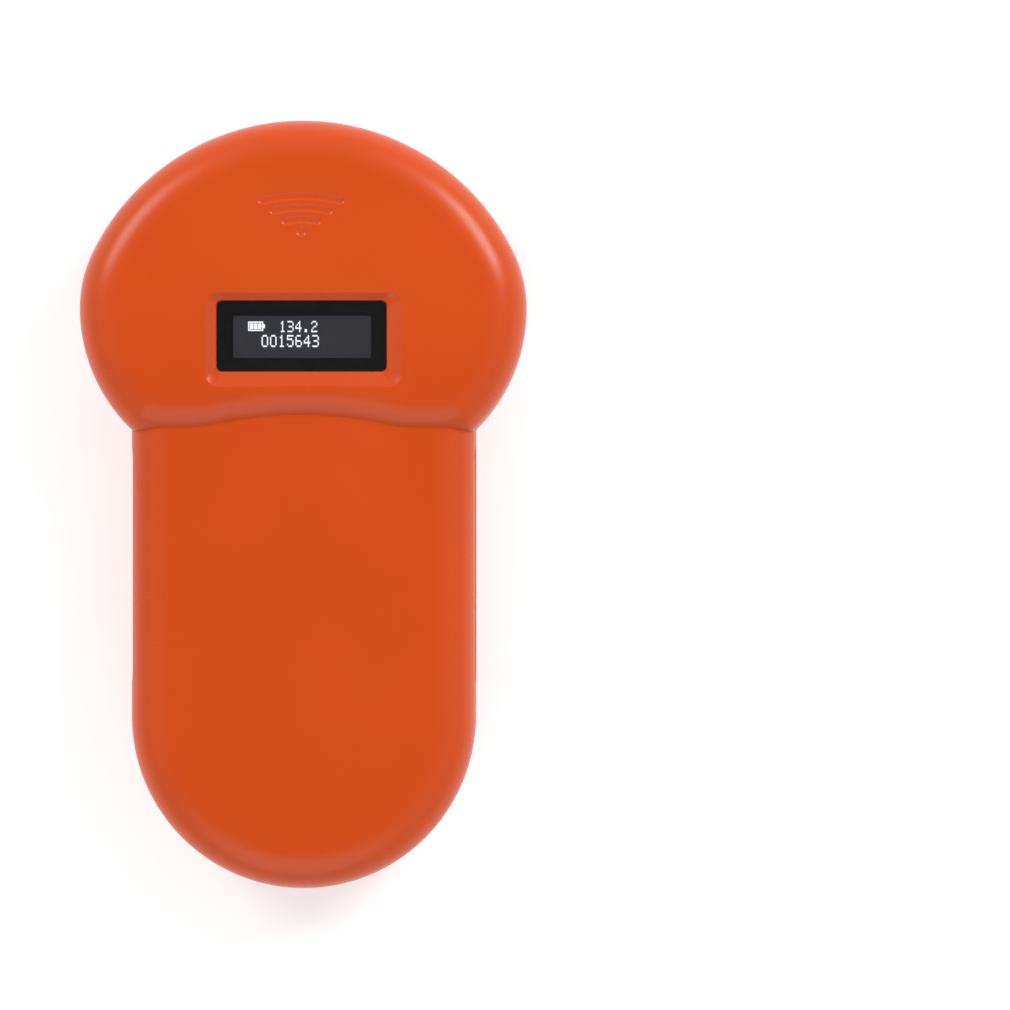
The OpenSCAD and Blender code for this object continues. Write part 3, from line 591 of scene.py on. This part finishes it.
def window_glass():
    """Clear acrylic with faint haze."""
    material, nodes, links, shader = new_material("window_glass")
    point = texture_point(nodes, links)
    haze = noise(nodes, links, point, 3, 4)
    gloss = ((0.4, grey(0.03)), (0.75, grey(0.06)))
    tint = ((0.3, (0.9, 0.91, 0.93)), (0.7, (0.94, 0.94, 0.95)))
    links.new(ramp(nodes, links, haze, gloss), shader.inputs["Roughness"])
    links.new(ramp(nodes, links, haze, tint), shader.inputs["Base Color"])
    shader.inputs["Transmission Weight"].default_value = 1
    shader.inputs["IOR"].default_value = 1.49
    shader.inputs["Specular IOR Level"].default_value = 0.3
    return material


def lit(name, colour, strength):
    """A glowing display surface with a faint unevenness."""
    material, nodes, links, shader = new_material(name)
    point = texture_point(nodes, links)
    uneven = noise(nodes, links, point, 6, 2)
    low = tuple(0.92 * c for c in colour)
    tint = ramp(nodes, links, uneven, ((0.3, low), (0.7, colour)))
    links.new(tint, shader.inputs["Emission Color"])
    shader.inputs["Emission Strength"].default_value = strength
    shader.inputs["Base Color"].default_value = (0.01, 0.01, 0.012, 1)
    shader.inputs["Roughness"].default_value = 0.3
    shader.inputs["Specular IOR Level"].default_value = 0.1
    return material


def board_mask():
    """Green solder mask over copper, which shows as a paler mesh of lines."""
    material, nodes, links, shader = new_material("board_mask")
    point = texture_point(nodes, links)
    cells = nodes.new("ShaderNodeTexBrick")
    cells.inputs["Scale"].default_value = 260
    cells.inputs["Mortar Size"].default_value = 0.035
    cells.inputs["Color1"].default_value = (0.006, 0.09, 0.03, 1)
    cells.inputs["Color2"].default_value = (0.008, 0.11, 0.036, 1)
    cells.inputs["Mortar"].default_value = (0.02, 0.2, 0.07, 1)
    links.new(point, cells.inputs["Vector"])
    links.new(cells.outputs["Color"], shader.inputs["Base Color"])
    haze = noise(nodes, links, point, 1, 2)
    links.new(ramp(nodes, links, haze, ((0.3, grey(0.28)), (0.7, grey(0.36)))), shader.inputs["Roughness"])
    return material


def enamelled_copper():
    """Copper wire wound round and round: fine rings across the coil's section."""
    material, nodes, links, shader = new_material("enamelled_copper")
    where = nodes.new("ShaderNodeTexCoord")
    split = nodes.new("ShaderNodeSeparateXYZ")
    links.new(where.outputs["Object"], split.inputs[0])
    wave = nodes.new("ShaderNodeMath")
    wave.operation = "SINE"
    scale = nodes.new("ShaderNodeMath")
    scale.operation = "MULTIPLY"
    scale.inputs[1].default_value = 2 * math.pi / (0.6 * MM)
    links.new(split.outputs["Z"], scale.inputs[0])
    links.new(scale.outputs[0], wave.inputs[0])
    shades = ((0.0, (0.24, 0.06, 0.02)), (0.6, (0.62, 0.2, 0.07)))
    links.new(ramp(nodes, links, wave.outputs[0], shades), shader.inputs["Base Color"])
    bump = nodes.new("ShaderNodeBump")
    bump.inputs["Distance"].default_value = 0.1 * MM
    links.new(wave.outputs[0], bump.inputs["Height"])
    links.new(bump.outputs["Normal"], shader.inputs["Normal"])
    shader.inputs["Metallic"].default_value = 0.9
    shader.inputs["Roughness"].default_value = 0.3
    shader.inputs["Coat Weight"].default_value = 0.6
    return material


def node_materials():
    """The record's material slots, each with its procedural material."""
    return {
        "orange_shell": orange_shell(),
        "screw_steel": surface("screw_steel", grey(0.36), grey(0.48), (0.25, 0.4), metallic=1),
        "dark_window": window_glass(),
        "tape": surface("black_mask", grey(0.003), grey(0.005), (0.5, 0.6), specular=0.05),
        "display_glass": surface("display_glass", grey(0.005), (0.008, 0.008, 0.01), (0.15, 0.2),
                                 specular=0.1),
        "flex_film": surface("flex_film", (0.4, 0.16, 0.02), (0.52, 0.24, 0.04), (0.2, 0.3), coat=0.4),
        "black_plastic": surface("black_plastic", grey(0.012), grey(0.02), (0.4, 0.55), grain=0.2),
        "green_board": board_mask(),
        "chip": surface("chip_epoxy", grey(0.01), grey(0.018), (0.45, 0.6), grain=0.4),
        "tin_steel": surface("tinned_steel", grey(0.5), grey(0.62), (0.22, 0.34), metallic=1,
                             stretch=(1, 6, 1)),
        "ceramic_cap": surface("ceramic_cap", (0.32, 0.2, 0.09), (0.42, 0.28, 0.14), (0.5, 0.6)),
        "film_cap": surface("film_cap", (0.42, 0.24, 0.03), (0.52, 0.32, 0.06), (0.25, 0.35), coat=0.3),
        "ferrite": surface("ferrite", grey(0.025), grey(0.045), (0.55, 0.7), grain=0.5),
        "gold": surface("gold_contact", (0.72, 0.45, 0.11), (0.82, 0.55, 0.18), (0.15, 0.25), metallic=1),
        "spring_steel": surface("spring_steel", (0.5, 0.48, 0.42), (0.62, 0.6, 0.54), (0.18, 0.28),
                                metallic=1),
        "cream_plastic": surface("cream_plastic", (0.66, 0.6, 0.46), (0.74, 0.68, 0.55), (0.35, 0.5),
                                 grain=0.1),
        "button_plastic": surface("button_rubber", grey(0.013), grey(0.02), (0.55, 0.68), grain=0.6),
        "copper": enamelled_copper(),
        "amber_tape": surface("amber_tape", (0.55, 0.22, 0.015), (0.66, 0.3, 0.03), (0.15, 0.3), coat=0.5),
        "foil": surface("pouch_foil", grey(0.5), grey(0.62), (0.25, 0.4), blotch_mm=5, metallic=0.9,
                        grain=0.6),
        "foam": surface("foam", grey(0.02), grey(0.035), (0.85, 0.95), grain_mm=0.5, grain=1.0),
        "red_wire": surface("red_wire", (0.42, 0.01, 0.008), (0.52, 0.018, 0.012), (0.3, 0.4)),
        "black_wire": surface("black_wire", grey(0.01), grey(0.016), (0.3, 0.4)),
    }


def paint(obj, material):
    obj.data.materials.clear()
    obj.data.materials.append(material)


# ---- What the display shows -----------------------------------------------------------------------

GLYPHS = {
    "0": ("01110", "10001", "10001", "10001", "10001", "10001", "01110"),
    "1": ("00100", "01100", "00100", "00100", "00100", "00100", "01110"),
    "2": ("01110", "10001", "00001", "00110", "01000", "10000", "11111"),
    "3": ("11110", "00001", "00001", "01110", "00001", "00001", "11110"),
    "4": ("00010", "00110", "01010", "10010", "11111", "00010", "00010"),
    "5": ("11111", "10000", "11110", "00001", "00001", "10001", "01110"),
    "6": ("01110", "10000", "10000", "11110", "10001", "10001", "01110"),
    ".": ("00000", "00000", "00000", "00000", "00000", "01100", "01100"),
}


def add_box(points, faces, x0, y0, x1, y1, z0, z1):
    base = len(points)
    points += [(x, y, z) for z in (z0, z1) for x, y in ((x0, y0), (x1, y0), (x1, y1), (x0, y1))]
    quads = ((3, 2, 1, 0), (4, 5, 6, 7), (0, 1, 5, 4), (1, 2, 6, 5), (2, 3, 7, 6), (3, 0, 4, 7))
    faces += [tuple(base + i for i in quad) for quad in quads]


def screen_marks(z):
    """A battery sign, and two rows of digits in small square dots."""
    points, faces = [], []

    def digits(text, left, top, dot_w, dot_h):
        for place, sign in enumerate(text):
            for row, line in enumerate(GLYPHS[sign]):
                for column, on in enumerate(line):
                    if on == "1":
                        x = left + (place * 6.4 + column) * dot_w
                        y = top - row * dot_h
                        add_box(points, faces, x, y - dot_h * 0.94, x + dot_w * 0.94, y, z, z + 0.02)

    digits("134.2", -4, WINDOW_Y + 2.75, 0.22, 0.29)
    digits("0015643", -7.2, WINDOW_Y + 0.25, 0.235, 0.31)
    left, right, low, high = -9.6, -6.9, WINDOW_Y + 0.95, WINDOW_Y + 2.65
    line = 0.24
    add_box(points, faces, left, low, right, low + line, z, z + 0.02)
    add_box(points, faces, left, high - line, right, high, z, z + 0.02)
    add_box(points, faces, left, low + line, left + line, high - line, z, z + 0.02)
    add_box(points, faces, right - line, low + line, right, high - line, z, z + 0.02)
    add_box(points, faces, right, low + 0.5, right + 0.3, high - 0.5, z, z + 0.02)
    for i in range(3):
        x = left + 0.33 + i * 0.71
        add_box(points, faces, x, low + 0.34, x + 0.62, high - 0.34, z, z + 0.02)
    return mesh_object("screen_marks", points, faces)


def screen_field(z):
    outline = shifted(rounded_box(*LIT_FIELD, 0.3), 0, WINDOW_Y - 0.1)
    return stack("screen_field", outline, [(0, z), (0, z + 0.02)])


# ---- The object -----------------------------------------------------------------------------------

finishes = node_materials()

front = front_cover()
paint(front, finishes["orange_shell"])
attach(front, CASING)
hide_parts("front_cover")

back = back_cover()
paint(back, finishes["orange_shell"])
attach(back, CASING)
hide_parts("back_cover")

button = trigger()
paint(button, finishes["button_plastic"])
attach(button, TRIGGER)
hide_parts("trigger_button")

glass_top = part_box("oled_glass")[1][2] / MM
field = screen_field(glass_top + 0.01)
paint(field, lit("screen_grey", (0.03, 0.03, 0.036), 1.0))
marks = screen_marks(glass_top + 0.04)
paint(marks, lit("screen_white", (0.9, 0.93, 1.0), 1.3))
for piece in (field, marks):
    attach(piece, CASING)

for subpart in frame["record"]["subparts"]:
    if subpart["node"] not in ("front_cover", "back_cover", "trigger_button"):
        paint(frame["nodes"][subpart["node"]], finishes[subpart["material_slot"]])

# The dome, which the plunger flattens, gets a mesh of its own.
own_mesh(frame["nodes"]["switch_dome"])


# ---- Studio ---------------------------------------------------------------------------------------


def floor():
    """A pale matt floor with a faint glow, clear from below so that the underside can be looked at."""
    half = 3000
    corners = ((-half, -half), (half, -half), (half, half), (-half, half))
    obj = mesh_object("floor", [(x, y, -0.05) for x, y in corners], [(0, 1, 2, 3)])
    material, nodes, links, shader = new_material("floor")
    shader.inputs["Base Color"].default_value = (0.62, 0.62, 0.62, 1)
    shader.inputs["Roughness"].default_value = 0.9
    shader.inputs["Emission Color"].default_value = (1, 1, 1, 1)
    shader.inputs["Emission Strength"].default_value = FLOOR_GLOW
    side = nodes.new("ShaderNodeNewGeometry")
    clear = nodes.new("ShaderNodeBsdfTransparent")
    mix = nodes.new("ShaderNodeMixShader")
    links.new(side.outputs["Backfacing"], mix.inputs[0])
    links.new(shader.outputs[0], mix.inputs[1])
    links.new(clear.outputs[0], mix.inputs[2])
    links.new(mix.outputs[0], nodes["Material Output"].inputs["Surface"])
    paint(obj, material)


def lamp(name, azimuth, elevation, distance, size, power):
    """A soft round lamp aimed at the scanner. Azimuth runs anticlockwise from +X."""
    data = bpy.data.lights.new(name, "AREA")
    data.shape = "DISK"
    data.size = size
    data.energy = power
    obj = bpy.data.objects.new(name, data)
    bpy.context.scene.collection.objects.link(obj)
    turn, lift = math.radians(azimuth), math.radians(elevation)
    towards = Vector((math.cos(lift) * math.cos(turn), math.cos(lift) * math.sin(turn), math.sin(lift)))
    obj.location = towards * distance
    obj.rotation_euler = towards.to_track_quat("Z", "Y").to_euler()


def studio_world():
    """A pale room, brighter round the sides than overhead, so that the window reflects little."""
    world = bpy.data.worlds.new("studio")
    world.use_nodes = True
    nodes, links = world.node_tree.nodes, world.node_tree.links
    where = nodes.new("ShaderNodeTexCoord")
    split = nodes.new("ShaderNodeSeparateXYZ")
    links.new(where.outputs["Generated"], split.inputs[0])
    stops = ((0.0, grey(0.8)), (0.35, grey(0.75)), (0.7, grey(0.8)), (0.88, grey(0.4)), (0.97, grey(0.12)))
    links.new(ramp(nodes, links, split.outputs["Z"], stops), nodes["Background"].inputs["Color"])
    nodes["Background"].inputs["Strength"].default_value = 1.0
    bpy.context.scene.world = world


def studio():
    floor()
    studio_world()
    lamp("right", 40, 34, 0.85, 0.36, 5.2)
    lamp("left", 141, 34, 0.85, 0.36, 3.3)
    lamp("fill", 262, 36, 0.85, 0.8, 2.6)
    bpy.context.scene.view_settings.view_transform = "Standard"


def camera():
    """Looks straight down, a little to the right of the scanner."""
    data = bpy.data.cameras.new("camera")
    data.sensor_width = SENSOR_WIDTH
    data.lens = SENSOR_WIDTH * (CAMERA_Z - OUTLINE_Z) / SEEN_WIDTH
    data.clip_start = 0.01
    obj = bpy.data.objects.new("camera", data)
    bpy.context.scene.collection.objects.link(obj)
    obj.location = (CAMERA_X, 0, CAMERA_Z)
    bpy.context.scene.camera = obj


studio()
camera()
